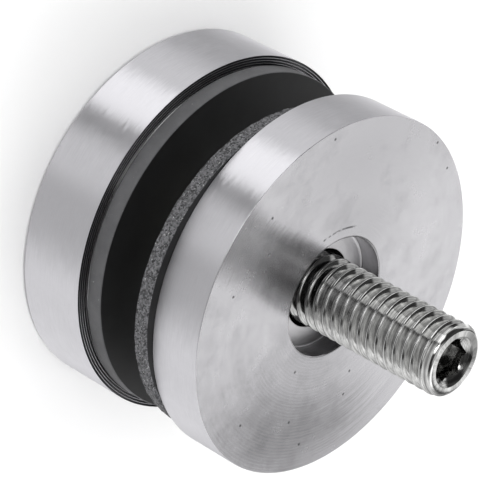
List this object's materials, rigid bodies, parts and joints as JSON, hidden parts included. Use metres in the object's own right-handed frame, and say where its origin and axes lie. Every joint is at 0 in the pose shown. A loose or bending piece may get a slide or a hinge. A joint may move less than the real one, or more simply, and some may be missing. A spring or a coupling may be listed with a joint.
{
  "type": "glass panel standoff",
  "caption": "Round steel standoff that clamps a glass panel between two gasketed discs on a threaded stud, with a screwed front cap.",
  "frame": {"origin": "centre of the cap's flat front face, on which the part stands", "axes": "+Z along the stud, from the cap to the stud's free end; -Y is the side to which the base gasket has slid"},
  "size_m": [0.0506, 0.0522, 0.0524],
  "materials": {
    "brushed_disc": "satin, brushed round the rim and faced on the flat",
    "turned_disc": "as turned",
    "bright_stud": "bright rolled thread",
    "moulded_rubber": "smooth, matt",
    "cut_rubber": "smooth faces, rough cut edge",
    "bush_plastic": "moulded, matt"
  },
  "bodies": {
    "stud": {"stud": "bright_stud"},
    "seal": {"front_gasket": "moulded_rubber", "glass_bush": "bush_plastic"},
    "clamp": {"clamp_disc": "turned_disc"},
    "cap": {"front_cap": "brushed_disc"},
    "base": {"base_disc": "brushed_disc", "base_gasket": "cut_rubber"}
  },
  "joints": [
    {"name": "clamp_travel", "type": "slide", "parent": "stud", "child": "seal", "axis": [0, 0, -1], "range_m": [0, 0.006]},
    {"name": "clamp_turn", "type": "hinge", "parent": "seal", "child": "clamp", "pos_m": [0, 0, 0.0067], "axis": [0, 0, -1], "range_deg": [0, 1440]},
    {"name": "cap_unscrew", "type": "slide", "parent": "clamp", "child": "cap", "axis": [0, 0, -1], "range_m": [0, 0.007]},
    {"name": "base_slide", "type": "slide", "parent": "stud", "child": "base", "axis": [0, 0, 1], "range_m": [0, 0.02]}
  ],
  "couplings": [
    {"joint": "clamp_travel", "follows": "clamp_turn", "m_per_rad": 0.00023873}
  ]
}
